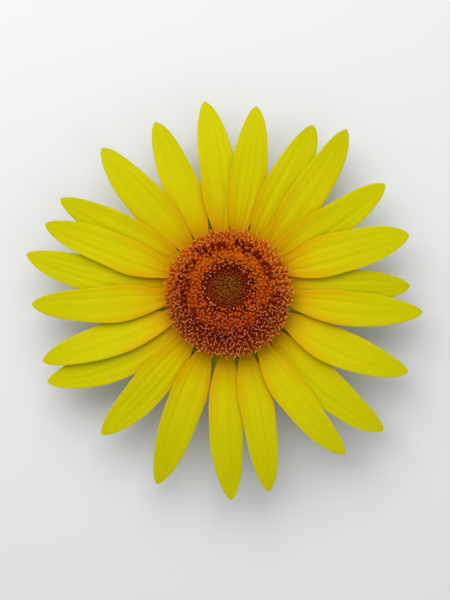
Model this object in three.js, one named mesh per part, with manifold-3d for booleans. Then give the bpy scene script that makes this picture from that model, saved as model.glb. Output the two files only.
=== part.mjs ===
// A sunflower head cut from its plant, standing face up on the flat end of its short stem.
// Millimetres, +Z up. The origin is the centre of the stem's cut end; +Y is the top of the face.
import * as THREE from "three";
import { mergeVertices } from "three/addons/utils/BufferGeometryUtils.js";
import ManifoldModule from "manifold-3d";

const solids = await ManifoldModule();
solids.setup();
const { Manifold, Mesh: ManifoldMesh } = solids;

// stem stub
const STEM_RADIUS = 5;
const STEM_LENGTH = 6;
const SEAT_GAP = 0.3;

// receptacle: the green body that carries bracts, ray florets and disc
const WALL_RADIUS = 16.7;
const WALL_FOOT = 13;
const WALL_TOP = 17.6;
const DOME_TOP = 19.9;

// bracts, in two whorls that alternate
const BRACTS_PER_WHORL = 13;
const BRACT_THICKNESS = 0.8;
const UPPER_BRACT = { root: 15.4, height: 12.7, length: 18, width: 7.2, rise: 0.9, drop: 1.2 };
const LOWER_BRACT = { root: 12.6, height: 10.6, length: 20, width: 8, rise: 0.4, drop: 4.4 };

// ray florets
const RAY_ROOT_RADIUS = 17.1;
const RAY_ROOT_HEIGHT = 15.6;
const RAY_THICKNESS = 0.6;
const RAY_CLAW = 0.32;
const RAY_FULLEST = 0.42;
const RAY_ARCH = 2;
const RAY_CUP = 0.3;
const LAP_LIFT = 1;
const LAP_ROLL = THREE.MathUtils.degToRad(12);

// Each ray floret in clockwise order from the top: azimuth of root and tip in degrees from +X,
// reach of the tip from the axis, greatest width, sideways bow (clockwise is positive), and whether
// it lies in front of both neighbours, behind both, or over the next or the previous one only.
const RAY_FLORETS = [
  { root: 98.4, tip: 97.2, reach: 58.1, width: 11.3, bow: 1.6, lap: "previous" },
  { root: 81.6, tip: 81.6, reach: 56.7, width: 11.2, bow: 0.8, lap: "previous" },
  { root: 64.2, tip: 63.1, reach: 56.6, width: 12, bow: 0.7, lap: "previous" },
  { root: 49.8, tip: 54.2, reach: 60.8, width: 11.2, bow: 1.6, lap: "previous" },
  { root: 36.6, tip: 34.8, reach: 57.3, width: 11.2, bow: 0.6, lap: "previous" },
  { root: 24.5, tip: 17.9, reach: 56.9, width: 13, bow: -0.3, lap: "front" },
  { root: 9.5, tip: 2.2, reach: 54.8, width: 11, bow: 0.5, lap: "back" },
  { root: -6, tip: -5.6, reach: 58.6, width: 10.7, bow: 1, lap: "front" },
  { root: -23, tip: -23.7, reach: 58.9, width: 11.6, bow: 1.8, lap: "next" },
  { root: -41, tip: -41.6, reach: 62.4, width: 11.8, bow: 2, lap: "back" },
  { root: -56.5, tip: -54.1, reach: 59.6, width: 10.4, bow: 1.9, lap: "front" },
  { root: -74, tip: -78.5, reach: 60.9, width: 10.5, bow: -0.8, lap: "next" },
  { root: -91.3, tip: -89.2, reach: 62.3, width: 10.9, bow: 0.9, lap: "next" },
  { root: -112.2, tip: -110.4, reach: 61.4, width: 11.4, bow: 0.2, lap: "next" },
  { root: -130.4, tip: -131.9, reach: 57, width: 11.2, bow: -0.9, lap: "next" },
  { root: -144, tip: -153.9, reach: 60.8, width: 11.8, bow: -2.2, lap: "back" },
  { root: -157, tip: -159.8, reach: 59.5, width: 11, bow: -0.2, lap: "previous" },
  { root: -176.5, tip: -176.8, reach: 59.3, width: 11.2, bow: -1.3, lap: "front" },
  { root: 172, tip: 169, reach: 61.9, width: 11.4, bow: -2.1, lap: "back" },
  { root: 160.6, tip: 159.4, reach: 58.8, width: 11, bow: 0, lap: "front" },
  { root: 145.5, tip: 150.8, reach: 58.1, width: 10.4, bow: -0.2, lap: "next" },
  { root: 130.2, tip: 131.2, reach: 57.8, width: 11.8, bow: -0.6, lap: "next" },
  { root: 115.1, tip: 113.2, reach: 56, width: 11, bow: -0.1, lap: "back" },
];

// disc florets, from the rim inward: open florets, florets shedding pollen, closed buds; every third
// of the innermost open florets still holds up its column of anthers
const DISC_RADIUS = 18.3;
const DISC_FLORETS = 230;
const DISC_CROWDING = 0.6;
const DISC_FOOT = 0.83;
const CORE_THICKNESS = 1.5;
const ANTHERS = { every: 3, outer: 15.2, height: 5.7, foot: 0.5, head: 0.46, lean: 0.7 };
const DISC_ZONES = [
  { name: "disc_open_florets", inner: 10.3, outer: 15.9, height: 4.2, foot: 0.5, head: 0.92, anthers: ANTHERS },
  { name: "disc_pollen_florets", inner: 6.3, outer: 10.3, height: 3.6, foot: 0.5, head: 0.78 },
  { name: "disc_buds", inner: 0, outer: 6.3, height: 1.9, foot: 0.58, head: 0.36 },
];

const GOLDEN_ANGLE = Math.PI * (3 - Math.sqrt(5));
const { degToRad } = THREE.MathUtils;

function polar(radius, azimuth) {
  return new THREE.Vector2(radius * Math.cos(azimuth), radius * Math.sin(azimuth));
}

function bareGeometry(geometry) {
  geometry.deleteAttribute("normal");
  geometry.deleteAttribute("uv");
  return mergeVertices(geometry, 1e-4);
}

function toManifold(geometry) {
  const bare = bareGeometry(geometry);
  return new Manifold(new ManifoldMesh({
    numProp: 3,
    vertProperties: new Float32Array(bare.attributes.position.array),
    triVerts: new Uint32Array(bare.index.array),
  }));
}

function toGeometry(solid) {
  const { vertProperties, triVerts, numProp } = solid.getMesh();
  const geometry = new THREE.BufferGeometry();
  const points = new THREE.InterleavedBuffer(vertProperties, numProp);
  geometry.setAttribute("position", new THREE.InterleavedBufferAttribute(points, 3, 0));
  geometry.setIndex(new THREE.BufferAttribute(triVerts, 1));
  return geometry;
}

function named(geometry, name) {
  const mesh = new THREE.Mesh(geometry, new THREE.MeshStandardMaterial());
  mesh.name = name;
  return mesh;
}

// A body of revolution about Z from a closed outline of [radius, height] points.
function turned(outline, segments) {
  const points = outline.map(([radius, height]) => new THREE.Vector2(radius, height));
  return new THREE.LatheGeometry(points, segments).rotateX(Math.PI / 2);
}

// A blade of even thickness over a surface (along 0..1, across -1..1). Both faces are
// split along the same diagonals.
function bladeGeometry(surface, rows, columns, thickness) {
  const positions = [];
  const index = [];
  const perFace = (rows + 1) * (columns + 1);
  for (const side of [0.5, -0.5]) {
    for (let row = 0; row <= rows; row++) {
      for (let column = 0; column <= columns; column++) {
        const point = surface(row / rows, (2 * column) / columns - 1);
        positions.push(point.x, point.y, point.z + side * thickness);
      }
    }
  }
  const at = (face, row, column) => face * perFace + row * (columns + 1) + column;
  for (let row = 0; row < rows; row++) {
    for (let column = 0; column < columns; column++) {
      const [a, b] = [at(0, row, column), at(0, row, column + 1)];
      const [c, d] = [at(0, row + 1, column + 1), at(0, row + 1, column)];
      index.push(a, b, c, a, c, d);
      index.push(a + perFace, c + perFace, b + perFace, a + perFace, d + perFace, c + perFace);
    }
  }
  const rim = [];
  for (let column = 0; column < columns; column++) rim.push(at(0, 0, column));
  for (let row = 0; row < rows; row++) rim.push(at(0, row, columns));
  for (let column = columns; column > 0; column--) rim.push(at(0, rows, column));
  for (let row = rows; row > 0; row--) rim.push(at(0, row, 0));
  rim.forEach((from, i) => {
    const to = rim[(i + 1) % rim.length];
    index.push(from, to + perFace, to, from, from + perFace, to + perFace);
  });
  const geometry = new THREE.BufferGeometry();
  geometry.setAttribute("position", new THREE.Float32BufferAttribute(positions, 3));
  geometry.setIndex(index);
  return geometry;
}

// Half width along a ray floret, as a share of its greatest: narrow claw, full middle, acute tip.
function rayOutline(along) {
  const base = RAY_CLAW + (1 - RAY_CLAW) * Math.sin((Math.PI / 2) * Math.min(1, along / RAY_FULLEST));
  return Math.max(base * (1 - along ** 4) ** 0.72, 0.06);
}

function raySurface({ root, tip, reach, width, bow, lap }) {
  const from = polar(RAY_ROOT_RADIUS, degToRad(root));
  const to = polar(reach, degToRad(tip));
  const chord = to.clone().sub(from).normalize();
  const bend = from.clone().add(to).multiplyScalar(0.5);
  bend.add(new THREE.Vector2(chord.y, -chord.x).multiplyScalar(2 * bow));
  const midrib = new THREE.QuadraticBezierCurve(from, bend, to);
  const lift = { front: LAP_LIFT, back: -LAP_LIFT }[lap] ?? 0;
  const roll = { next: LAP_ROLL, previous: -LAP_ROLL }[lap] ?? 0;
  return (along, across) => {
    const centre = midrib.getPoint(along);
    const tangent = midrib.getTangent(along);
    const offset = 0.5 * width * rayOutline(along) * across;
    const height = RAY_ROOT_HEIGHT + lift * (1 + 0.5 * along)
      + RAY_ARCH * 4 * along * (1 - along)
      + offset * Math.tan(roll)
      + RAY_CUP * across ** 2 * (1 - along);
    return new THREE.Vector3(centre.x + offset * tangent.y, centre.y - offset * tangent.x, height);
  };
}

// An ovate bract drawn out to a fine point, spreading and bending down toward its tip.
function bractSurface({ root, height, length, width, rise, drop }, azimuth) {
  const outward = polar(1, azimuth);
  return (along, across) => {
    const share = (0.55 + 0.45 * Math.sin(Math.PI * Math.min(1, along / 0.6))) * (1 - along ** 1.7);
    const offset = 0.5 * width * Math.max(share, 0.05) * across;
    const radius = root + length * along;
    const z = height + rise * Math.sin(Math.PI * along) - drop * along ** 2
      + 0.5 * across ** 2 * (1 - along);
    return new THREE.Vector3(
      radius * outward.x + offset * outward.y,
      radius * outward.y - offset * outward.x,
      z,
    );
  };
}

function domeHeight(radius) {
  return WALL_TOP + 0.5 + (DOME_TOP - WALL_TOP - 0.5) * (1 - (radius / WALL_RADIUS) ** 2);
}

function makeStem() {
  const stem = new THREE.CylinderGeometry(STEM_RADIUS + 0.2, STEM_RADIUS, STEM_LENGTH, 24);
  stem.rotateX(Math.PI / 2).translate(0, 0, STEM_LENGTH / 2);
  return named(toGeometry(toManifold(stem)), "stem");
}

function makeReceptacle() {
  const foot = STEM_LENGTH + SEAT_GAP;
  const body = turned([
    [0, foot], [STEM_RADIUS + 0.2, foot], [6.6, foot + 1.2], [9.4, foot + 2.6], [13.2, foot + 4.2],
    [15.9, foot + 5.5], [WALL_RADIUS, WALL_FOOT], [WALL_RADIUS, WALL_TOP],
    [15.6, domeHeight(15.6)], [10.5, domeHeight(10.5)], [5.5, domeHeight(5.5)], [0, DOME_TOP],
  ], 39);
  const joined = [toManifold(body)];
  for (let i = 0; i < BRACTS_PER_WHORL; i++) {
    const step = (2 * Math.PI) / BRACTS_PER_WHORL;
    for (const [whorl, turn] of [[UPPER_BRACT, 0.25], [LOWER_BRACT, 0.75]]) {
      const surface = bractSurface(whorl, (i + turn) * step);
      joined.push(toManifold(bladeGeometry(surface, 6, 2, BRACT_THICKNESS)));
    }
  }
  return named(toGeometry(Manifold.union(joined)), "receptacle_and_bracts");
}

// A disc floret as a four-sided tapered tube that leans outward from its foot on the dome.
function discFloret({ height, foot, head }, footRadius, headRadius, azimuth) {
  const base = polar(footRadius, azimuth);
  const top = polar(headRadius, azimuth);
  const start = new THREE.Vector3(base.x, base.y, domeHeight(footRadius) + SEAT_GAP + 0.7);
  const end = new THREE.Vector3(top.x, top.y, domeHeight(footRadius) + CORE_THICKNESS + height);
  const axis = end.clone().sub(start);
  const tube = new THREE.CylinderGeometry(head, foot, axis.length(), 4);
  tube.translate(0, axis.length() / 2, 0);
  tube.applyQuaternion(new THREE.Quaternion().setFromUnitVectors(
    new THREE.Vector3(0, 1, 0), axis.normalize()));
  return tube.translate(start.x, start.y, start.z);
}

// Keeps a radius inside its zone, at least a margin from the zones beside it.
function within({ inner, outer }, radius, scale, margin) {
  const least = inner > 0 ? inner * scale + margin : 0;
  return THREE.MathUtils.clamp(radius, least, outer * scale - margin);
}

function makeDiscZone(zone) {
  const inner = zone.inner > 0 ? zone.inner + SEAT_GAP / 2 : 0;
  const outer = zone.outer - SEAT_GAP / 2;
  const middle = (inner + outer) / 2;
  const low = (radius) => [radius, domeHeight(radius) + SEAT_GAP];
  const high = (radius) => [radius, domeHeight(radius) + SEAT_GAP + CORE_THICKNESS];
  const outline = [low(inner), low(middle), low(outer), high(outer), high(middle), high(inner)];
  if (inner > 0) outline.push(low(inner));
  const joined = [toManifold(turned(outline, 28))];
  for (let n = 0; n < DISC_FLORETS; n++) {
    const headRadius = DISC_RADIUS * ((n + 0.5) / DISC_FLORETS) ** DISC_CROWDING;
    const footRadius = headRadius * DISC_FOOT;
    if (footRadius < zone.inner || footRadius >= zone.outer) continue;
    const seated = within(zone, footRadius, 1, 0.85);
    const spread = within(zone, headRadius, 1 / DISC_FOOT, zone.head + 0.2);
    joined.push(toManifold(discFloret(zone, seated, spread, n * GOLDEN_ANGLE)));
    const { anthers } = zone;
    if (anthers && n % anthers.every === 0 && headRadius < anthers.outer) {
      joined.push(toManifold(discFloret(anthers, seated, spread + anthers.lean, n * GOLDEN_ANGLE)));
    }
  }
  return named(toGeometry(Manifold.union(joined)), zone.name);
}

const sunflower = new THREE.Group();
sunflower.name = "sunflower_head";
sunflower.add(makeStem(), makeReceptacle());
RAY_FLORETS.forEach((floret, i) => {
  const name = `ray_floret_${String(i + 1).padStart(2, "0")}`;
  sunflower.add(named(bladeGeometry(raySurface(floret), 10, 4, RAY_THICKNESS), name));
});
DISC_ZONES.forEach((zone) => sunflower.add(makeDiscZone(zone)));

export default sunflower;
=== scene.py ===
"""A sunflower head cut off short, standing face up on its stem, with +Z up. The sizes of the flower
are in millimetres, and those of the stage in metres."""
import math
import random

import bmesh
import bpy
from mathutils import Matrix, Vector, noise


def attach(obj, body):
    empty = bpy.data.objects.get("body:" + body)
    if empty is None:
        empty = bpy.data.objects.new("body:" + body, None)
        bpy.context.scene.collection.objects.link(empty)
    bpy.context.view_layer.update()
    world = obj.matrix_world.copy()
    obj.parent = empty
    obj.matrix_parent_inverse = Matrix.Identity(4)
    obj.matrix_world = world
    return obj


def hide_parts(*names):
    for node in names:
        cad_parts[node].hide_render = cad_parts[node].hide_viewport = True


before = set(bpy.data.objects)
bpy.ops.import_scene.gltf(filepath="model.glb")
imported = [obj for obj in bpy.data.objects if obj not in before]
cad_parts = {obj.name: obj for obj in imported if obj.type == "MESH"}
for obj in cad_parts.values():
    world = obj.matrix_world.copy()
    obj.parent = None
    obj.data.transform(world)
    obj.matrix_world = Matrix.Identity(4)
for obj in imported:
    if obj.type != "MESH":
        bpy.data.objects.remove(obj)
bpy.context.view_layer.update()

MM = 0.001
GOLDEN_ANGLE = math.pi * (3 - math.sqrt(5))
scatter_rng = random.Random(23)

# The ray florets clockwise from the top: azimuth of root and tip in degrees, reach of the tip,
# greatest width, sideways bow, and which neighbours the blade lies over.
RAY_FLORETS = [
    (98.4, 97.2, 58.1, 11.3, 1.6, "previous"),
    (81.6, 81.6, 56.7, 11.2, 0.8, "previous"),
    (64.2, 63.1, 56.6, 12, 0.7, "previous"),
    (49.8, 54.2, 60.8, 11.2, 1.6, "previous"),
    (36.6, 34.8, 57.3, 11.2, 0.6, "previous"),
    (24.5, 17.9, 56.9, 13, -0.3, "front"),
    (9.5, 2.2, 54.8, 11, 0.5, "back"),
    (-6, -5.6, 58.6, 10.7, 1, "front"),
    (-23, -23.7, 58.9, 11.6, 1.8, "next"),
    (-41, -41.6, 62.4, 11.8, 2, "back"),
    (-56.5, -54.1, 59.6, 10.4, 1.9, "front"),
    (-74, -78.5, 60.9, 10.5, -0.8, "next"),
    (-91.3, -89.2, 62.3, 10.9, 0.9, "next"),
    (-112.2, -110.4, 61.4, 11.4, 0.2, "next"),
    (-130.4, -131.9, 57, 11.2, -0.9, "next"),
    (-144, -153.9, 60.8, 11.8, -2.2, "back"),
    (-157, -159.8, 59.5, 11, -0.2, "previous"),
    (-176.5, -176.8, 59.3, 11.2, -1.3, "front"),
    (172, 169, 61.9, 11.4, -2.1, "back"),
    (160.6, 159.4, 58.8, 11, 0, "front"),
    (145.5, 150.8, 58.1, 10.4, -0.2, "next"),
    (130.2, 131.2, 57.8, 11.8, -0.6, "next"),
    (115.1, 113.2, 56, 11, -0.1, "back"),
]

# The blade of a ray floret. Places and widths on it are shares of its length and half width.
RAY_ROOT_RADIUS = 16.5
RAY_ROOT_HEIGHT = 15.6
RAY_CLAW = 0.22
RAY_FULLEST = 0.42
RAY_TIP_TAPER = 4
RAY_TIP_BLUNTNESS = 0.64
RAY_TIP_WIDTH = 0.03
RAY_ARCH = 2
RAY_CUP = 0.3
RAY_DROOP = (-1.6, 0.8)
RAY_TWIST = (-0.16, 0.16)
RAY_THICKNESS = 0.32
RAY_FACES_ACROSS = 36
RAY_FACES_ALONG = 54

# Its relief and its margin.
PLEAT_DEPTH = 0.03
PLEAT_RATE = 15
FINE_PLEAT_DEPTH = 0.015
FINE_PLEAT_RATE = 31
FOLD_DEPTH = 0.18
FOLD_PLACE = 0.36
FOLD_WIDTH = 0.12
MARGIN_WAVE = 0.12
MARGIN_WAVE_RATE = 9
MARGIN_UNEVENNESS = 0.03
MARGIN_UNEVENNESS_RATE = 11
MARGIN_THICKNESS_SHARE = 0.35
SHARP_EDGE = math.radians(50)

# How it lies over or under its neighbours.
LAP_LIFT = {"front": 0.7, "back": -0.7, "next": 0, "previous": 0}
LAP_SLOPE = math.tan(math.radians(10))
LAP_ROLL = {"front": 0, "back": 0, "next": LAP_SLOPE, "previous": -LAP_SLOPE}

# The cut stem.
STEM_RADIUS = 5
STEM_LENGTH = 6
STEM_RIBS = 15
STEM_RIB_HEIGHT = 0.1
STEM_HAIRS = 150
STEM_HAIR_START = 0.7
STEM_HAIR_RANGE = 5
STEM_HAIR_SLANT = (-0.3, 0.5)
STEM_HAIR_LENGTH = (0.6, 1.3)
STEM_HAIR_RADIUS = 0.06

# The receptacle.
WALL_RADIUS = 16.7
WALL_TOP = 17.6
DOME_TOP = 19.9
RECEPTACLE_RIDGES = 26
RECEPTACLE_RIDGE_HEIGHT = 0.14

# The two whorls of bracts.
BRACTS_PER_WHORL = 13
BRACT_THICKNESS = 0.6
BRACT_BASE_SHARE = 0.55
BRACT_FULLEST = 0.6
BRACT_TIP_TAPER = 1.7
BRACT_TIP_SHARE = 0.02
BRACT_SWAY = 0.4
BRACT_CUP = 0.5
BRACT_WAVE = 0.18
BRACT_WAVE_RATE = 8
MIDRIB_DEPTH = 0.22
MIDRIB_WIDTH = 0.14
BRACT_FACES_ACROSS = 10
BRACT_FACES_ALONG = 26
BRACT_HAIRS = 18
BRACT_HAIR_START = 0.14
BRACT_HAIR_STEP = 0.045
BRACT_HAIR_LENGTH = (0.7, 1.2)
BRACT_HAIR_RADIUS = 0.05
UPPER_BRACT = dict(root=15.4, height=12.7, length=18, width=7.2, rise=0.9, drop=1.2, turn=0.25)
LOWER_BRACT = dict(root=12.6, height=10.6, length=20, width=8, rise=0.4, drop=4.4, turn=0.75)

# The disc florets on their spiral.
DISC_RADIUS = 20
DISC_FLORETS = 1000
DISC_CROWDING = 0.66
DISC_FOOT = 0.83
FLORET_HEIGHT = 5.2
FLORET_SEAT = 0.3
FLORET_TILT = 0.08
FLORET_GIRTH = (0.98, 1.18)
FLORET_STRETCH = (0.95, 1.05)
ANTHER_LEAN = 0.22
STIGMA_CURLS = [(1.0, 0.8), (0.6, 0.95), (1.3, 0.68), (1.1, 0.86)]

# Pollen in tufts, loose pollen and the bed under it.
POLLEN_TUFTS = 4
TUFT_GRAINS = 6
TUFT_SPREAD = (0.08, 0.4)
TUFT_HEIGHT = (4.5, 4.85)
TUFT_GRAIN_RADIUS = (0.16, 0.27)
POLLEN_GRAINS = 2400
GRAIN_RADIUS = (0.1, 0.22)
POLLEN_RING = (8, 13.2)
BED_SHIFT = 1.5
BED_HEAP = 0.8
HEAP_PATCHES = 0.45
BED_STEPS = 56

# Where each kind of disc floret ends, measured from the middle of the buds and of the pollen ring,
# which both lie toward the top of the face.
BUD_CENTRE = (0, 1.7)
POLLEN_CENTRE = (0, 1.2)
BUD_END = 6.6
OPENING_END = 8.2
LONE_ANTHER_START = 10
POLLEN_END = 11.8
ANTHER_END = 14
ZONE_RAGGEDNESS = 1.3
ZONE_PATCHES = 0.32
ZONE_BLUR = 0.5
OPENING_CHANCE = 0.66

# The chaff scales around the disc.
CHAFF_SCALES = 72
CHAFF_HEIGHT = (3.9, 4.6)
CHAFF_FOOT = 1.6
CHAFF_HALF_WIDTH = 1.5
CHAFF_TIP_SHARE = 0.03
CHAFF_TIP_TAPER = 1.8
CHAFF_STAND_OFF = 0.45
CHAFF_FLARE = 1.1
CHAFF_CURVE = 0.3
CHAFF_ROW_GAP = 0.3
CHAFF_ROW_DROP = 0.5
CHAFF_THICKNESS = 0.2

# The camera stands straight above the face and takes in the photograph's frame.
PHOTO_WIDTH = 450
PHOTO_HEIGHT = 600
DISC_CENTRE_PIXEL = (228.5, 293)
MM_PER_PIXEL = 0.3
FACE_HEIGHT = 17
CAMERA_DISTANCE = 0.7

# Place and power of each light, the sky and the floor.
LIGHTS = {"key": ((-0.11, 0.32, 0.45), 3.25), "fill": ((0.3, -0.3, 0.8), 0.75)}
LIGHT_SIZE = 0.6
LIGHT_TARGET = (0, 0, 0.015)
SKY_COLOUR = (0.95, 0.97, 1, 1)
SKY_STRENGTH = 0.52
FLOOR_COLOUR = (0.68, 0.68, 0.675, 1)
FLOOR_HALF_SIZE = 8


def tone(red, green, blue):
    """A colour as it looks on screen, 0 to 255, as the linear value that a shader takes."""
    def linear(value):
        value /= 255
        return value / 12.92 if value <= 0.04045 else ((value + 0.055) / 1.055) ** 2.4
    return (linear(red), linear(green), linear(blue), 1)


def smooth_step(value, low, high):
    share = min(max((value - low) / (high - low), 0), 1)
    return share * share * (3 - 2 * share)


def polar(radius, azimuth):
    return Vector((radius * math.cos(azimuth), radius * math.sin(azimuth)))


def dome_height(radius):
    rim = WALL_TOP + 0.5
    return rim + (DOME_TOP - rim) * (1 - (radius / WALL_RADIUS) ** 2)


# Radius and height of the bed that the disc florets stand through.
BED_PROFILE = [
    (0, dome_height(0) + 2), (5, dome_height(5) + 2), (7.4, dome_height(7.4) + 2.3),
    (8.2, dome_height(8.2) + 3.3), (9.2, dome_height(9.2) + 4.3), (11, dome_height(11) + 4.3),
    (12.4, dome_height(12.4) + 3.8), (13.6, dome_height(13.6) + 3.2), (14.6, dome_height(14.6) + 3.3),
    (16.4, WALL_TOP + 3.7), (17.6, WALL_TOP + 2.7), (17.2, WALL_TOP + 1.4), (16.95, WALL_TOP + 0.4),
    (16.85, WALL_TOP - 0.5), (16.2, WALL_TOP - 0.6)]


def make_piece(bm, name, materials, replaced=()):
    """Turns a bmesh in millimetres into a finished piece of the flower."""
    bmesh.ops.scale(bm, vec=(MM, MM, MM), verts=bm.verts)
    mesh = bpy.data.meshes.new(name)
    bm.to_mesh(mesh)
    bm.free()
    mesh.shade_smooth()
    for material in materials:
        mesh.materials.append(material)
    piece = bpy.data.objects.new(name, mesh)
    bpy.context.collection.objects.link(piece)
    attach(piece, "root")
    if replaced:
        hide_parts(*replaced)


# Shaders


def add_node(tree, kind, inputs=None, **settings):
    made = tree.nodes.new(kind)
    for setting, value in settings.items():
        setattr(made, setting, value)
    for key, value in (inputs or {}).items():
        if isinstance(value, bpy.types.NodeSocket):
            tree.links.new(value, made.inputs[key])
        else:
            made.inputs[key].default_value = value
    return made


def add_ramp(tree, factor, stops):
    """A colour ramp through stops of rising place."""
    ramp = add_node(tree, "ShaderNodeValToRGB", {"Fac": factor})
    elements = ramp.color_ramp.elements
    for element, (place, colour) in ((elements[0], stops[0]), (elements[1], stops[-1])):
        element.position = place
        element.color = colour
    for place, colour in stops[1:-1]:
        elements.new(place).color = colour
    return ramp.outputs["Color"]


def add_mix(tree, factor, first, second):
    """Two colours mixed; the node's colour sockets are its inputs 6 and 7 and its output 2."""
    return add_node(tree, "ShaderNodeMix", {0: factor, 6: first, 7: second}, data_type="RGBA").outputs[2]


def add_math(tree, operation, first, second=0.0):
    return add_node(tree, "ShaderNodeMath", {0: first, 1: second}, operation=operation).outputs[0]


def new_material(name, roughness, specular):
    material = bpy.data.materials.new(name)
    material.use_nodes = True
    shader = material.node_tree.nodes["Principled BSDF"]
    shader.inputs["Roughness"].default_value = roughness
    shader.inputs["Specular IOR Level"].default_value = specular
    return material, material.node_tree, shader


def new_group(name, inputs, outputs):
    """An empty node group with its sockets, which are all floats."""
    group = bpy.data.node_groups.new(name, "ShaderNodeTree")
    for side, sockets in (("INPUT", inputs), ("OUTPUT", outputs)):
        for socket in sockets:
            group.interface.new_socket(socket, in_out=side, socket_type="NodeSocketFloat")
    source = group.nodes.new("NodeGroupInput").outputs
    target = group.nodes.new("NodeGroupOutput").inputs
    return group, source, target


def make_vein_group():
    """Lengthwise veins of a blade, from its UV map and its place: a mask and a height."""
    group, source, target = new_group("blade_veins", ["Across", "Along"], ["Mask", "Height"])
    uv = add_node(group, "ShaderNodeUVMap")
    stretch = add_node(group, "ShaderNodeCombineXYZ", {
        "X": source["Across"], "Y": source["Along"], "Z": 1.0})
    stretched = add_node(group, "ShaderNodeVectorMath", {
        0: uv.outputs[0], 1: stretch.outputs[0]}, operation="MULTIPLY")
    coords = add_node(group, "ShaderNodeTexCoord")
    drift = add_node(group, "ShaderNodeVectorMath", {
        0: coords.outputs["Object"], 1: (9.0, 9.0, 9.0)}, operation="MULTIPLY")
    place = add_node(group, "ShaderNodeVectorMath", {
        0: stretched.outputs[0], 1: drift.outputs[0]}, operation="ADD")
    streak = add_node(group, "ShaderNodeTexNoise", {
        "Vector": place.outputs[0], "Scale": 1.0, "Detail": 3.0, "Roughness": 0.6})
    mask = add_node(group, "ShaderNodeMapRange", {
        "Value": streak.outputs["Fac"], "From Min": 0.38, "From Max": 0.66})
    group.links.new(mask.outputs[0], target["Mask"])
    group.links.new(streak.outputs["Fac"], target["Height"])
    return group


def make_mottle_group():
    """Soft and fine mottling of plant skin on Object coordinates."""
    group, source, target = new_group("skin_mottle", ["Scale"], ["Soft", "Fine"])
    coords = add_node(group, "ShaderNodeTexCoord")
    soft = add_node(group, "ShaderNodeTexNoise", {
        "Vector": coords.outputs["Object"], "Scale": source["Scale"], "Detail": 2.0})
    closer = add_math(group, "MULTIPLY", source["Scale"], 9.0)
    fine = add_node(group, "ShaderNodeTexNoise", {
        "Vector": coords.outputs["Object"], "Scale": closer, "Detail": 4.0, "Roughness": 0.65})
    group.links.new(soft.outputs["Fac"], target["Soft"])
    group.links.new(fine.outputs["Fac"], target["Fine"])
    return group


VEINS = make_vein_group()
MOTTLE = make_mottle_group()


def use_group(tree, group, **values):
    return add_node(tree, "ShaderNodeGroup", values, node_tree=group).outputs


def add_bump(tree, shader, height, strength, distance):
    bump = add_node(tree, "ShaderNodeBump", {
        "Height": height, "Strength": strength, "Distance": distance})
    tree.links.new(bump.outputs["Normal"], shader.inputs["Normal"])


def add_disc_radius(tree, centre):
    """Distance in plan from a point of the disc, in millimetres."""
    coords = add_node(tree, "ShaderNodeTexCoord")
    flat = add_node(tree, "ShaderNodeVectorMath", {
        0: coords.outputs["Object"], 1: (1 / MM, 1 / MM, 0)}, operation="MULTIPLY")
    return add_node(tree, "ShaderNodeVectorMath", {
        0: flat.outputs[0], 1: (*centre, 0)}, operation="DISTANCE").outputs["Value"]


def make_ray_material():
    material, tree, shader = new_material("ray_yellow", 0.5, 0.025)
    shader.inputs["Subsurface Weight"].default_value = 0.2
    shader.inputs["Subsurface Radius"].default_value = (1.0, 0.8, 0.05)
    shader.inputs["Subsurface Scale"].default_value = 0.6 * MM
    uv = add_node(tree, "ShaderNodeUVMap")
    parts = add_node(tree, "ShaderNodeSeparateXYZ", {0: uv.outputs[0]})
    across, along = parts.outputs["X"], parts.outputs["Y"]
    # Orange toward the root: partly the petal's own deeper tone there and partly painted shade near the disc.
    length = add_ramp(tree, along, [
        (0.0, tone(188, 112, 0)), (0.08, tone(194, 142, 0)), (0.16, tone(198, 163, 0)),
        (0.28, tone(198, 180, 0)), (0.5, tone(192, 186, 0)), (1.0, tone(186, 182, 0))])
    veins = use_group(tree, VEINS, Across=30.0, Along=1.1)
    veined = add_mix(tree, add_math(tree, "MULTIPLY", veins["Mask"], 0.26), length, tone(178, 158, 0))
    # Painted shade: an orange strip along both margins near the root stands in for the warm shade where
    # neighbouring blades overlap.
    from_middle = add_math(tree, "ABSOLUTE", add_math(tree, "SUBTRACT", across, 0.5))
    margin = add_node(tree, "ShaderNodeMapRange", {
        "Value": from_middle, "From Min": 0.22, "From Max": 0.5, "To Max": 0.8})
    near_base = add_node(tree, "ShaderNodeMapRange", {
        "Value": along, "From Min": 0.66, "From Max": 0.26})
    edge = add_math(tree, "MULTIPLY", margin.outputs[0], near_base.outputs[0])
    overlap_shaded = add_mix(tree, edge, veined, tone(199, 148, 0))
    mottle = use_group(tree, MOTTLE, Scale=55.0)
    shade = add_node(tree, "ShaderNodeMapRange", {
        "Value": mottle["Soft"], "From Min": 0.35, "From Max": 0.7, "To Min": 0.0, "To Max": 0.2})
    upper = add_mix(tree, shade.outputs[0], overlap_shaded, tone(172, 168, 0))
    normal = add_node(tree, "ShaderNodeNewGeometry").outputs["Normal"]
    facing = add_node(tree, "ShaderNodeSeparateXYZ", {0: normal})
    down = add_math(tree, "LESS_THAN", facing.outputs["Z"], 0.0)
    colour = add_mix(tree, add_math(tree, "MULTIPLY", down, 0.6), upper, tone(184, 184, 58))
    tree.links.new(colour, shader.inputs["Base Color"])
    rough = add_node(tree, "ShaderNodeMapRange", {
        "Value": veins["Height"], "To Min": 0.42, "To Max": 0.62})
    tree.links.new(rough.outputs[0], shader.inputs["Roughness"])
    add_bump(tree, shader, veins["Height"], 0.35, 0.1 * MM)
    return material


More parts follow.
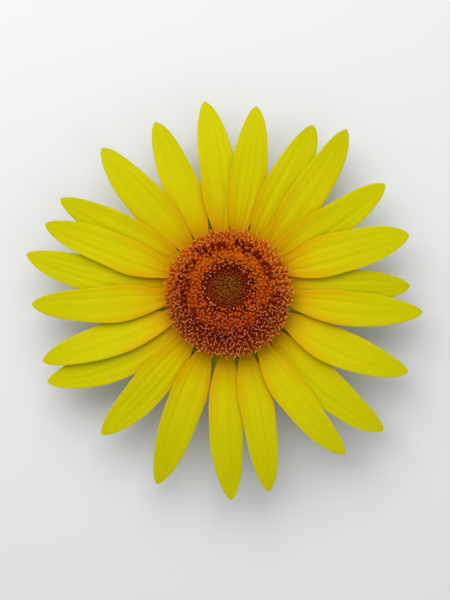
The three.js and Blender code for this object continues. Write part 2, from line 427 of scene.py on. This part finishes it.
def make_speckled(name, dark, light, roughness, scale, bump=0.08):
    """A plant skin that runs from a dark to a light tone in soft and fine patches."""
    material, tree, shader = new_material(name, roughness, 0.1)
    mottle = use_group(tree, MOTTLE, Scale=scale)
    both = add_math(tree, "ADD", add_math(tree, "MULTIPLY", mottle["Soft"], 0.6),
                    add_math(tree, "MULTIPLY", mottle["Fine"], 0.4))
    tree.links.new(add_ramp(tree, both, [(0.36, dark), (0.66, light)]), shader.inputs["Base Color"])
    add_bump(tree, shader, mottle["Fine"], 0.4, bump * MM)
    return material


def make_radial(name, stops, lower, darker, roughness=0.7, centre=(0, 0)):
    """A disc floret's tone: by its distance from a centre, as a share of the disc's radius, turning to
    another, mostly darker tone over the lower half of the face, less so at the rim, and mottled with a darker
    one. The turn over the lower half is partly painted shade, as the light falls from the top, and partly the
    florets' own tone where more of them have opened."""
    material, tree, shader = new_material(name, roughness, 0.05)
    share = add_math(tree, "DIVIDE", add_disc_radius(tree, centre), DISC_RADIUS)
    coords = add_node(tree, "ShaderNodeTexCoord")
    place = add_node(tree, "ShaderNodeSeparateXYZ", {0: coords.outputs["Object"]})
    # Painted shade over the lower half of the face, partly also the florets' own tone there.
    lower_shade_and_tone = add_node(tree, "ShaderNodeMapRange", {
        "Value": place.outputs["Y"], "From Min": 9 * MM, "From Max": -10 * MM, "To Max": 0.85})
    inside = add_node(tree, "ShaderNodeMapRange", {
        "Value": share, "From Min": 0.72, "From Max": 1.0, "To Min": 1.0, "To Max": 0.55})
    lower_shade_and_tone_share = add_math(tree, "MULTIPLY", lower_shade_and_tone.outputs[0], inside.outputs[0])
    base = add_mix(tree, lower_shade_and_tone_share, add_ramp(tree, share, stops), lower)
    mottle = use_group(tree, MOTTLE, Scale=900.0)
    patch = add_node(tree, "ShaderNodeMapRange", {
        "Value": mottle["Soft"], "From Min": 0.42, "From Max": 0.7, "To Max": 0.65})
    tree.links.new(add_mix(tree, patch.outputs[0], base, darker), shader.inputs["Base Color"])
    add_bump(tree, shader, mottle["Fine"], 0.4, 0.05 * MM)
    return material


def make_bract_material():
    material, tree, shader = new_material("bract_green", 0.62, 0.1)
    uv = add_node(tree, "ShaderNodeUVMap")
    parts = add_node(tree, "ShaderNodeSeparateXYZ", {0: uv.outputs[0]})
    # Painted light: the root runs pale yellow, lighter than the bract's own green, to lift the deep shade
    # where it shows between the ray florets.
    length = add_ramp(tree, parts.outputs["Y"], [
        (0.0, tone(222, 208, 40)), (0.42, tone(212, 206, 46)), (0.62, tone(140, 160, 52)),
        (1.0, tone(100, 124, 38))])
    veins = use_group(tree, VEINS, Across=14.0, Along=2.0)
    veined = add_mix(tree, add_math(tree, "MULTIPLY", veins["Mask"], 0.45), length, tone(84, 112, 32))
    middle = add_node(tree, "ShaderNodeMapRange", {
        "Value": add_math(tree, "ABSOLUTE", add_math(tree, "SUBTRACT", parts.outputs["X"], 0.5)),
        "From Min": 0.05, "From Max": 0.0, "To Max": 0.7})
    colour = add_mix(tree, middle.outputs[0], veined, tone(142, 158, 84))
    tree.links.new(colour, shader.inputs["Base Color"])
    add_bump(tree, shader, veins["Height"], 0.5, 0.15 * MM)
    return material


RAY_YELLOW = make_ray_material()
BRACT_GREEN = make_bract_material()
CHAFF_RUST = make_speckled("chaff_rust", tone(150, 74, 12), tone(196, 128, 30), 0.7, 600.0, 0.1)
RECEPTACLE_GREEN = make_speckled("receptacle_green", tone(112, 120, 30), tone(160, 162, 52),
                                 0.65, 260.0, 0.1)
STEM_GREEN = make_speckled("stem_green", tone(98, 114, 32), tone(146, 156, 64), 0.6, 320.0, 0.1)
STEM_CUT = make_speckled("stem_cut", tone(176, 180, 120), tone(222, 220, 178), 0.7, 500.0, 0.15)
HAIR_PALE = make_speckled("hair_pale", tone(170, 182, 128), tone(214, 220, 180), 0.6, 900.0)
COROLLA_RUST = make_radial("corolla_rust", [
    (0.0, tone(230, 108, 12)), (0.62, tone(244, 118, 18)), (0.74, tone(248, 136, 22)),
    (0.88, tone(248, 158, 20)), (1.0, tone(252, 182, 22))], tone(152, 38, 10), tone(210, 80, 10))
ANTHER_MAROON = make_radial("anther_maroon", [
    (0.0, tone(116, 18, 8)), (1.0, tone(118, 20, 8))], tone(106, 16, 8), tone(84, 8, 2))
STIGMA_SALMON = make_radial("stigma_salmon", [
    (0.0, tone(240, 150, 108)), (0.68, tone(240, 154, 102)), (0.86, tone(236, 162, 74)),
    (1.0, tone(238, 176, 60))], tone(228, 130, 100), tone(204, 94, 46), 0.6)
POLLEN_ORANGE = make_radial("pollen_orange", [
    (0.0, tone(208, 88, 16)), (0.38, tone(210, 94, 14)), (0.5, tone(212, 106, 14)),
    (1.0, tone(214, 104, 14))], tone(200, 78, 14), tone(198, 84, 10), 0.85)
BED_ORANGE = make_radial("bed_orange", [
    (0.0, tone(120, 26, 2)), (0.36, tone(150, 40, 2)), (0.44, tone(200, 96, 6)),
    (0.6, tone(202, 96, 6)), (0.68, tone(216, 92, 6)), (0.8, tone(220, 108, 8)), (1.0, tone(226, 124, 8))],
    tone(160, 48, 6), tone(150, 38, 2), 0.85, POLLEN_CENTRE)
# The dark maroon ring at shares 0.22 to 0.3 round the buds is partly painted shadow of the taller pollen
# florets around them and partly the young florets' own darker tone.
BUD_BROWN = make_radial("bud_brown", [
    (0.0, tone(126, 82, 14)), (0.15, tone(130, 74, 14)), (0.22, tone(130, 48, 12)),
    (0.3, tone(136, 40, 14)), (0.4, tone(208, 92, 50)), (1.0, tone(206, 90, 46))],
    tone(132, 62, 18), tone(90, 30, 6), 0.75, BUD_CENTRE)


# Ray florets


def ray_outline(along):
    """Half width as a share of the greatest: narrow claw, full middle, acute tip."""
    base = RAY_CLAW + (1 - RAY_CLAW) * math.sin(math.pi / 2 * min(1, along / RAY_FULLEST))
    return max(base * (1 - along ** RAY_TIP_TAPER) ** RAY_TIP_BLUNTNESS, RAY_TIP_WIDTH)


def ray_relief(along, across, phase):
    """Pleats, two main folds and a soft wave of the margin, in millimetres."""
    body = math.sin(math.pi * min(1, along * 1.05)) ** 0.6 if 0 < along < 0.95 else 0
    pleats = (PLEAT_DEPTH * math.cos(across * PLEAT_RATE + 2 * phase)
              + FINE_PLEAT_DEPTH * math.cos(across * FINE_PLEAT_RATE + phase))
    folds = -FOLD_DEPTH * sum(math.exp(-((across - side * FOLD_PLACE) / FOLD_WIDTH) ** 2) for side in (1, -1))
    wave = MARGIN_WAVE * across ** 2 * math.sin(along * MARGIN_WAVE_RATE + phase + 1.7 * across)
    return body * (pleats + folds * (1 - 0.6 * along)) + wave * smooth_step(along, 0.15, 0.5)


def thicken(bm, thickness):
    """Gives an open blade its thickness, which thins out at the margin."""
    middle = bm.verts.layers.float_vector.new("middle")
    margin = bm.verts.layers.int.new("margin")
    for vert in bm.verts:
        vert[middle] = vert.co
        vert[margin] = vert.is_boundary
    bmesh.ops.translate(bm, vec=(0, 0, thickness / 2), verts=bm.verts)
    bmesh.ops.solidify(bm, geom=bm.faces[:], thickness=thickness)
    bmesh.ops.recalc_face_normals(bm, faces=bm.faces)
    for vert in bm.verts:
        if vert[margin]:
            vert.co = vert[middle].lerp(vert.co, MARGIN_THICKNESS_SHARE)
    bm.verts.layers.float_vector.remove(middle)
    bm.verts.layers.int.remove(bm.verts.layers.int["margin"])
    for edge in bm.edges:
        edge.smooth = edge.calc_face_angle(0) < SHARP_EDGE


def make_ray_floret(number, floret):
    root, tip, reach, width, bow, lap = floret
    start = polar(RAY_ROOT_RADIUS, math.radians(root))
    end = polar(reach, math.radians(tip))
    chord = (end - start).normalized()
    bend = (start + end) / 2 + Vector((chord.y, -chord.x)) * 2 * bow
    phase = number * 2.4
    habit = random.Random(number)
    droop = habit.uniform(*RAY_DROOP)
    twist = habit.uniform(*RAY_TWIST)
    bm = bmesh.new()
    bm.loops.layers.uv.new("UVMap")
    bmesh.ops.create_grid(bm, x_segments=RAY_FACES_ACROSS, y_segments=RAY_FACES_ALONG, size=1, calc_uvs=True)
    for vert in bm.verts:
        across, along = vert.co.x, (vert.co.y + 1) / 2
        centre = start * (1 - along) ** 2 + bend * 2 * along * (1 - along) + end * along ** 2
        tangent = ((bend - start) * (1 - along) + (end - bend) * along).normalized()
        uneven = 1 + MARGIN_UNEVENNESS * math.sin(along * MARGIN_UNEVENNESS_RATE + phase * 3 + across)
        offset = 0.5 * width * ray_outline(along) * across * (uneven if along < 0.95 else 1)
        height = (RAY_ROOT_HEIGHT + RAY_ARCH * 4 * along * (1 - along)
                  + LAP_LIFT[lap] * (1 + 0.5 * along) + offset * LAP_ROLL[lap]
                  + (droop + offset * twist) * smooth_step(along, 0.5, 1)
                  + RAY_CUP * across ** 2 * (1 - along) + ray_relief(along, across, phase))
        vert.co = (centre.x + offset * tangent.y, centre.y - offset * tangent.x, height)
    thicken(bm, RAY_THICKNESS)
    name = f"ray_floret_{number:02d}"
    make_piece(bm, f"{name}_blade", [RAY_YELLOW], [name])


# Disc florets


def add_tube(bm, path, radii, sides, close=True):
    """A tapered tube along a path of points; ends in a point where its last radius is 0."""
    points = [Vector(point) for point in path]
    for i, (point, radius) in enumerate(zip(points, radii)):
        ahead = points[min(i + 1, len(points) - 1)] - points[max(i - 1, 0)]
        seat = Matrix.Translation(point) @ ahead.to_track_quat("Z", "Y").to_matrix().to_4x4()
        if i == 0:
            corners = bmesh.ops.create_circle(bm, segments=sides, radius=radius, matrix=seat)["verts"]
            ring = list({edge for vert in corners for edge in vert.link_edges})
        else:
            made = bmesh.ops.extrude_edge_only(bm, edges=ring)["geom"]
            corners = [part for part in made if isinstance(part, bmesh.types.BMVert)]
            ring = [part for part in made if isinstance(part, bmesh.types.BMEdge)]
            move = seat @ Matrix.Scale(radius / last_radius, 4) @ last_seat.inverted()
            bmesh.ops.transform(bm, matrix=move, verts=corners)
        last_seat, last_radius = seat, radius
    if radii[-1] == 0:
        bmesh.ops.pointmerge(bm, verts=corners, merge_co=points[-1])
    elif close:
        bmesh.ops.contextual_create(bm, geom=ring)
    return corners


def add_corolla(bm, height, waist, mouth, lobe):
    """A floret's tube that opens into five pointed lobes."""
    path = [(0, 0, 0), (0, 0, height * 0.72), (0, 0, height)]
    rim = add_tube(bm, path, [waist, waist, mouth], 10, close=False)
    rim.sort(key=lambda vert: math.atan2(vert.co.y, vert.co.x))
    for i, vert in enumerate(rim):
        if i % 2:
            out = Vector((vert.co.x, vert.co.y, 0)).normalized()
            vert.co += out * lobe + Vector((0, 0, 0.35 * lobe))
        else:
            vert.co.z -= 0.25 * lobe


def floret_mesh(name, build):
    bm = bmesh.new()
    build(bm)
    bmesh.ops.recalc_face_normals(bm, faces=bm.faces)
    mesh = bpy.data.meshes.new(name)
    bm.to_mesh(mesh)
    bm.free()
    return mesh


def set_material(bm, first, index):
    bm.faces.ensure_lookup_table()
    for face in bm.faces[first:]:
        face.material_index = index


def build_open_floret(curl, spread):
    """Rust corolla and style, which forks into two recurved salmon arms."""
    def build(bm):
        add_corolla(bm, height=4.3, waist=0.38, mouth=0.5, lobe=0.36)
        first = len(bm.faces)
        for side in (1, -1):
            arm = [(0, 0, 4.6), (side * 0.14 * spread, side * 0.05, 5.14),
                   (side * 0.4 * spread, side * 0.13, 5.36), (side * 0.6 * spread, side * 0.16, 5.24),
                   (side * 0.64 * spread, side * 0.08, 5.24 - 0.34 * curl)]
            add_tube(bm, arm, [0.09, 0.09, 0.09, 0.08, 0.04], 3)
        set_material(bm, first, 1)
        add_tube(bm, [(0, 0, 3.6), (0, 0, 4.7)], [0.2, 0.17], 5)
    return build


def build_anther_floret(bm):
    """A corolla with its dark column of five joined anthers, from which a pale stigma comes out."""
    add_corolla(bm, height=3.2, waist=0.42, mouth=0.52, lobe=0.2)
    first = len(bm.faces)
    for side in (1, -1):
        add_tube(bm, [(0, 0, 6.7), (side * 0.05, 0, 7), (side * 0.24, 0, 7.15)], [0.1, 0.1, 0.05], 3)
    set_material(bm, first, 1)
    first = len(bm.faces)
    add_tube(bm, [(0, 0, 3), (0, 0, 4.6), (0, 0, 6.2), (0, 0, 6.8)], [0.32, 0.42, 0.42, 0.22], 10)
    set_material(bm, first, 2)
    for vert in {vert for face in bm.faces[first:] for vert in face.verts}:
        vert.co.xy = vert.co.xy * (1 + 0.1 * math.cos(5 * math.atan2(vert.co.y, vert.co.x)))


def add_grain(bm, place, radius):
    """A grain of pollen."""
    bmesh.ops.create_uvsphere(bm, u_segments=4, v_segments=2, radius=radius,
                              matrix=Matrix.Translation(place))


def build_pollen_floret(seed):
    """Corolla with a column of anthers under a tuft of pollen."""
    def build(bm):
        add_corolla(bm, height=4.4, waist=0.4, mouth=0.56, lobe=0.4)
        add_tube(bm, [(0, 0, 3.6), (0, 0, 4.6)], [0.24, 0.28], 5)
        habit = random.Random(seed)
        for k in range(TUFT_GRAINS):
            place = polar(habit.uniform(*TUFT_SPREAD), k * GOLDEN_ANGLE + habit.random()).to_3d()
            place.z = habit.uniform(*TUFT_HEIGHT)
            add_grain(bm, place, habit.uniform(*TUFT_GRAIN_RADIUS))
    return build


def build_bud(bm):
    """A closed bud, drawn in to a blunt point."""
    add_tube(bm, [(0, 0, 1), (0, 0, 2.2), (0, 0, 2.6), (0, 0, 2.85), (0, 0, 2.92)],
             [0.46, 0.47, 0.4, 0.22, 0], 6)


def build_opening_bud(bm):
    """A bud that is about to open, with the tips of its lobes showing."""
    add_tube(bm, [(0, 0, 1), (0, 0, 2.8), (0, 0, 3.5), (0, 0, 3.8), (0, 0, 3.9)],
             [0.42, 0.46, 0.42, 0.26, 0], 6)
    first = len(bm.faces)
    add_tube(bm, [(0, 0, 3.6), (0, 0, 4.02), (0, 0, 4.15)], [0.18, 0.2, 0], 5)
    set_material(bm, first, 1)


def floret_kind(n, spot):
    """Which kind stands at a spot of the disc: the zones have ragged edges, and florets have opened
    further over the lower part of the face."""
    ragged = ZONE_RAGGEDNESS * noise.noise(Vector((spot.x * ZONE_PATCHES, spot.y * ZONE_PATCHES, 3.7)))
    blur = scatter_rng.uniform(-ZONE_BLUR, ZONE_BLUR)
    from_buds = (spot - Vector(BUD_CENTRE)).length + 0.5 * ragged + 0.5 * blur
    from_pollen = (spot - Vector(POLLEN_CENTRE)).length + ragged + blur
    lower = smooth_step(-spot.y, 1, 6)
    draw = scatter_rng.random()
    if from_buds < BUD_END:
        return "bud"
    if from_buds < OPENING_END:
        return "opening" if draw < OPENING_CHANCE else "pollen"
    if from_pollen < POLLEN_END:
        if draw < 0.08 + 0.37 * lower:
            return "open"
        return "anther" if n % 9 == 0 and from_pollen > LONE_ANTHER_START else "pollen"
    if from_pollen < ANTHER_END:
        if n % 3 == 0 and draw > 0.6 * lower:
            return "anther"
        return "pollen" if draw > 0.15 + 0.6 * lower else "open"
    return "open"


def disc_places():
    """Foot, head, azimuth and kind of each disc floret along the golden spiral."""
    for n in range(DISC_FLORETS):
        head = DISC_RADIUS * ((n + 0.5) / DISC_FLORETS) ** DISC_CROWDING
        azimuth = n * GOLDEN_ANGLE
        yield head * DISC_FOOT, head, azimuth, floret_kind(n, polar(head, azimuth))


def scatter_disc():
    """Every disc floret, gathered by kind."""
    templates = {
        "bud": [floret_mesh("bud", build_bud)],
        "opening": [floret_mesh("opening_bud", build_opening_bud)],
        "pollen": [floret_mesh(f"pollen_floret_{i}", build_pollen_floret(i)) for i in range(POLLEN_TUFTS)],
        "anther": [floret_mesh("anther_floret", build_anther_floret)],
        "open": [floret_mesh(f"open_floret_{i}", build_open_floret(curl, spread))
                 for i, (curl, spread) in enumerate(STIGMA_CURLS)],
    }
    kinds = {kind: bmesh.new() for kind in templates}
    for foot, head, azimuth, kind in disc_places():
        base = polar(foot, azimuth).to_3d()
        base.z = dome_height(foot) + FLORET_SEAT
        outward = math.atan2(head - foot, FLORET_HEIGHT) + scatter_rng.uniform(-FLORET_TILT, FLORET_TILT)
        if kind == "anther":
            outward += ANTHER_LEAN
        sideways = scatter_rng.uniform(-FLORET_TILT, FLORET_TILT)
        lean = (Matrix.Rotation(azimuth, 4, "Z") @ Matrix.Rotation(outward, 4, "Y")
                @ Matrix.Rotation(sideways, 4, "X"))
        spin = Matrix.Rotation(scatter_rng.uniform(0, math.pi), 4, "Z")
        girth = scatter_rng.uniform(*FLORET_GIRTH)
        if kind == "bud":
            girth *= 0.8 + 0.22 * head / BUD_END
        stretch = scatter_rng.uniform(*FLORET_STRETCH)
        size = Matrix.Diagonal((girth, girth, stretch, 1))
        floret = scatter_rng.choice(templates[kind]).copy()
        floret.transform(Matrix.Translation(base) @ lean @ spin @ size)
        kinds[kind].from_mesh(floret)
        bpy.data.meshes.remove(floret)
    for meshes in templates.values():
        for mesh in meshes:
            bpy.data.meshes.remove(mesh)
    return kinds


def bed_shift(spot):
    """How far the bed is moved toward the top of the face, where its pollen ring has its centre,
    and how far its pollen heaps up there."""
    radius = math.hypot(spot.x, spot.y)
    heap = BED_HEAP * noise.noise(Vector((spot.x * HEAP_PATCHES, spot.y * HEAP_PATCHES, 1.3)))
    ring = smooth_step(radius, 8, 10) * (1 - smooth_step(radius, 13, 15))
    return Vector((0, BED_SHIFT * (1 - smooth_step(radius, 9, 15)), heap * ring))


def scatter_pollen():
    """Loose grains of pollen on the bed between the florets."""
    grains = bmesh.new()
    template = floret_mesh("grain", lambda bm: add_grain(bm, (0, 0, 0), 1))
    slopes = list(zip(BED_PROFILE, BED_PROFILE[1:]))
    for _ in range(POLLEN_GRAINS):
        radius = scatter_rng.uniform(*POLLEN_RING)
        height = next(low + (high - low) * (radius - near) / (far - near)
                      for (near, low), (far, high) in slopes if near <= radius < far)
        spot = polar(radius, scatter_rng.uniform(0, 2 * math.pi)).to_3d()
        spot += bed_shift(spot) + Vector((0, 0, height + scatter_rng.uniform(-0.05, 0.4)))
        grain = template.copy()
        grain.transform(Matrix.Translation(spot) @ Matrix.Scale(scatter_rng.uniform(*GRAIN_RADIUS), 4))
        grains.from_mesh(grain)
        bpy.data.meshes.remove(grain)
    bpy.data.meshes.remove(template)
    return grains


def make_disc():
    kinds = scatter_disc()
    make_piece(scatter_pollen(), "disc_pollen_grains", [POLLEN_ORANGE],
               ["disc_pollen_florets"])
    rust = [COROLLA_RUST, STIGMA_SALMON, ANTHER_MAROON]
    make_piece(kinds["open"], "disc_open_florets_fine", rust, ["disc_open_florets"])
    make_piece(kinds["anther"], "disc_anther_florets", rust, ["disc_open_florets"])
    make_piece(kinds["pollen"], "disc_pollen_florets_fine", [POLLEN_ORANGE],
               ["disc_pollen_florets"])
    make_piece(kinds["bud"], "disc_buds_fine", [BUD_BROWN], ["disc_buds"])
    make_piece(kinds["opening"], "disc_opening_buds", [BUD_BROWN, STIGMA_SALMON], ["disc_buds"])
    bed = bmesh.new()
    spin_profile(bed, BED_PROFILE, BED_STEPS)
    for vert in bed.verts:
        vert.co += bed_shift(vert.co)
    make_piece(bed, "disc_bed", [BED_ORANGE], ["disc_open_florets"])


# Green parts


def spin_profile(bm, profile, steps):
    """A surface of revolution about Z through (radius, height) points."""
    verts = [bm.verts.new((radius, 0, height)) for radius, height in profile]
    edges = [bm.edges.new(pair) for pair in zip(verts, verts[1:])]
    bmesh.ops.spin(bm, geom=verts + edges, cent=(0, 0, 0), axis=(0, 0, 1), dvec=(0, 0, 0),
                   angle=2 * math.pi, steps=steps, use_merge=True, use_duplicate=False)
    bmesh.ops.remove_doubles(bm, verts=bm.verts, dist=1e-4)
    bmesh.ops.recalc_face_normals(bm, faces=bm.faces)


def make_chaff():
    """Two rows of pointed scales between the ray florets and the disc."""
    bm = bmesh.new()
    for n in range(CHAFF_SCALES):
        outer = n % 2
        out = polar(1, 2 * math.pi * n / CHAFF_SCALES)
        made = bmesh.ops.create_grid(bm, x_segments=4, y_segments=8, size=1)
        tall = scatter_rng.uniform(*CHAFF_HEIGHT) - CHAFF_ROW_DROP * outer
        for vert in made["verts"]:
            across, along = vert.co.x, (vert.co.y + 1) / 2
            offset = CHAFF_HALF_WIDTH * across * max(1 - along ** CHAFF_TIP_TAPER, CHAFF_TIP_SHARE)
            radius = (WALL_RADIUS + CHAFF_STAND_OFF + CHAFF_ROW_GAP * outer + CHAFF_FLARE * along ** 2
                      - CHAFF_CURVE * across ** 2 * (1 - along))
            vert.co = (radius * out.x + offset * out.y, radius * out.y - offset * out.x,
                       WALL_TOP - CHAFF_FOOT + tall * along)
    bmesh.ops.solidify(bm, geom=bm.faces[:], thickness=CHAFF_THICKNESS)
    bmesh.ops.recalc_face_normals(bm, faces=bm.faces)
    make_piece(bm, "disc_chaff", [CHAFF_RUST], ["disc_open_florets"])


def make_receptacle():
    foot = STEM_LENGTH + 0.1
    bm = bmesh.new()
    spin_profile(bm, [
        (4.9, foot - 0.1), (5.25, foot + 0.3), (6.0, foot + 0.9), (7.4, foot + 1.8), (9.6, foot + 2.8),
        (12.2, foot + 3.8), (14.6, foot + 4.9), (16.1, foot + 6.0), (16.6, foot + 7.2),
        (16.6, WALL_TOP - 0.4), (16.3, WALL_TOP + 0.1), (15.4, WALL_TOP + 0.5),
        (12, dome_height(12) + 0.1)], 3 * RECEPTACLE_RIDGES)
    for vert in bm.verts:
        azimuth = math.atan2(vert.co.y, vert.co.x)
        ridge = RECEPTACLE_RIDGE_HEIGHT * math.cos(RECEPTACLE_RIDGES * azimuth)
        ridge *= smooth_step(vert.co.z, foot, foot + 2)
        vert.co += polar(ridge, azimuth).to_3d()
    make_piece(bm, "receptacle_body", [RECEPTACLE_GREEN], ["receptacle_and_bracts"])


def bract_point(whorl, azimuth, along, across, phase):
    """A point of an ovate bract drawn out to a fine tip, in millimetres."""
    swell = math.sin(math.pi * min(1, along / BRACT_FULLEST))
    share = (BRACT_BASE_SHARE + (1 - BRACT_BASE_SHARE) * swell) * (1 - along ** BRACT_TIP_TAPER)
    sway = BRACT_SWAY * math.sin(phase) * along ** 2
    offset = 0.5 * whorl["width"] * max(share, BRACT_TIP_SHARE) * across + sway
    radius = whorl["root"] + whorl["length"] * along
    midrib = MIDRIB_DEPTH * math.exp(-(across / MIDRIB_WIDTH) ** 2)
    height = (whorl["height"] + whorl["rise"] * math.sin(math.pi * along) - whorl["drop"] * along ** 2
              + (BRACT_CUP * across ** 2 - midrib) * (1 - along)
              + BRACT_WAVE * math.sin(along * BRACT_WAVE_RATE + phase) * across)
    out = polar(1, azimuth)
    return Vector((radius * out.x + offset * out.y, radius * out.y - offset * out.x, height))


def make_bracts():
    blades = bmesh.new()
    blades.loops.layers.uv.new("UVMap")
    hairs = bmesh.new()
    step = 2 * math.pi / BRACTS_PER_WHORL
    for i in range(BRACTS_PER_WHORL):
        for whorl in (UPPER_BRACT, LOWER_BRACT):
            azimuth = (i + whorl["turn"]) * step
            phase = 5.1 * i + 9 * whorl["turn"]
            made = bmesh.ops.create_grid(blades, x_segments=BRACT_FACES_ACROSS,
                                         y_segments=BRACT_FACES_ALONG, size=1, calc_uvs=True)
            for vert in made["verts"]:
                vert.co = bract_point(whorl, azimuth, (vert.co.y + 1) / 2, vert.co.x, phase)
            for k in range(BRACT_HAIRS):
                along = BRACT_HAIR_START + BRACT_HAIR_STEP * k
                for side in (1, -1):
                    edge = bract_point(whorl, azimuth, along, side, phase)
                    inner = bract_point(whorl, azimuth, along - 0.05, side * 0.6, phase)
                    away = (edge - inner).normalized()
                    reach = scatter_rng.uniform(*BRACT_HAIR_LENGTH)
                    add_tube(hairs, [edge - away * 0.1, edge + away * reach], [BRACT_HAIR_RADIUS, 0], 3)
    thicken(blades, BRACT_THICKNESS)
    make_piece(blades, "bract_blades", [BRACT_GREEN], ["receptacle_and_bracts"])
    make_piece(hairs, "bract_hairs", [HAIR_PALE])


def make_stem():
    bm = bmesh.new()
    spin_profile(bm, [
        (0, 0), (1.6, 0), (2.9, 0), (4.3, 0), (STEM_RADIUS - 0.25, 0.05), (STEM_RADIUS - 0.05, 0.3),
        (STEM_RADIUS, 1.5), (STEM_RADIUS, 3.5), (STEM_RADIUS + 0.1, 5.3),
        (STEM_RADIUS + 0.2, STEM_LENGTH + 0.05)], 4 * STEM_RIBS)
    for vert in bm.verts:
        azimuth = math.atan2(vert.co.y, vert.co.x)
        if vert.co.z > 0.2:
            rib = STEM_RIB_HEIGHT * math.cos(STEM_RIBS * azimuth)
            vert.co += polar(rib, azimuth).to_3d()
    for face in bm.faces:
        face.material_index = 1 if face.calc_center_median().z < 0.02 else 0
    make_piece(bm, "stem_stub", [STEM_GREEN, STEM_CUT], ["stem"])
    hairs = bmesh.new()
    for n in range(STEM_HAIRS):
        out = polar(1, n * GOLDEN_ANGLE).to_3d()
        height = STEM_HAIR_START + STEM_HAIR_RANGE * scatter_rng.random()
        foot = out * (STEM_RADIUS - 0.05) + Vector((0, 0, height))
        slant = out + Vector((0, 0, scatter_rng.uniform(*STEM_HAIR_SLANT)))
        tip = foot + slant * scatter_rng.uniform(*STEM_HAIR_LENGTH)
        add_tube(hairs, [foot, tip], [STEM_HAIR_RADIUS, 0], 3)
    make_piece(hairs, "stem_hairs", [HAIR_PALE])


# Stage


def make_stage():
    bm = bmesh.new()
    bmesh.ops.create_grid(bm, x_segments=1, y_segments=1, size=FLOOR_HALF_SIZE)
    mesh = bpy.data.meshes.new("floor")
    bm.to_mesh(mesh)
    bm.free()
    floor = bpy.data.objects.new("floor", mesh)
    bpy.context.collection.objects.link(floor)
    pale, _, shader = new_material("pale_floor", 0.9, 0.1)
    shader.inputs["Base Color"].default_value = FLOOR_COLOUR
    mesh.materials.append(pale)


def add_area_light(name, place, power):
    lamp = bpy.data.lights.new(name, "AREA")
    lamp.shape = "DISK"
    lamp.size = LIGHT_SIZE
    lamp.energy = power
    holder = bpy.data.objects.new(name, lamp)
    holder.location = place
    holder.rotation_mode = "QUATERNION"
    holder.rotation_quaternion = (Vector(LIGHT_TARGET) - Vector(place)).to_track_quat("-Z", "Y")
    bpy.context.collection.objects.link(holder)


def make_light():
    scene = bpy.context.scene
    scene.view_settings.view_transform = "Standard"
    world = bpy.data.worlds.new("studio")
    world.use_nodes = True
    sky = world.node_tree.nodes["Background"]
    sky.inputs["Color"].default_value = SKY_COLOUR
    sky.inputs["Strength"].default_value = SKY_STRENGTH
    scene.world = world
    for name, (place, power) in LIGHTS.items():
        add_area_light(name, place, power)


def make_camera():
    pixel = MM_PER_PIXEL * MM
    lens = bpy.data.cameras.new("camera")
    lens.sensor_width = 36
    lens.lens = lens.sensor_width * CAMERA_DISTANCE / (PHOTO_HEIGHT * pixel)
    lens.clip_start = 0.01
    camera = bpy.data.objects.new("camera", lens)
    column, row = DISC_CENTRE_PIXEL
    camera.location = ((PHOTO_WIDTH / 2 - column) * pixel, (row - PHOTO_HEIGHT / 2) * pixel,
                       FACE_HEIGHT * MM + CAMERA_DISTANCE)
    bpy.context.collection.objects.link(camera)
    bpy.context.scene.camera = camera


make_camera()
make_light()
make_stage()
for number, floret in enumerate(RAY_FLORETS, 1):
    make_ray_floret(number, floret)
make_disc()
make_chaff()
make_receptacle()
make_bracts()
make_stem()
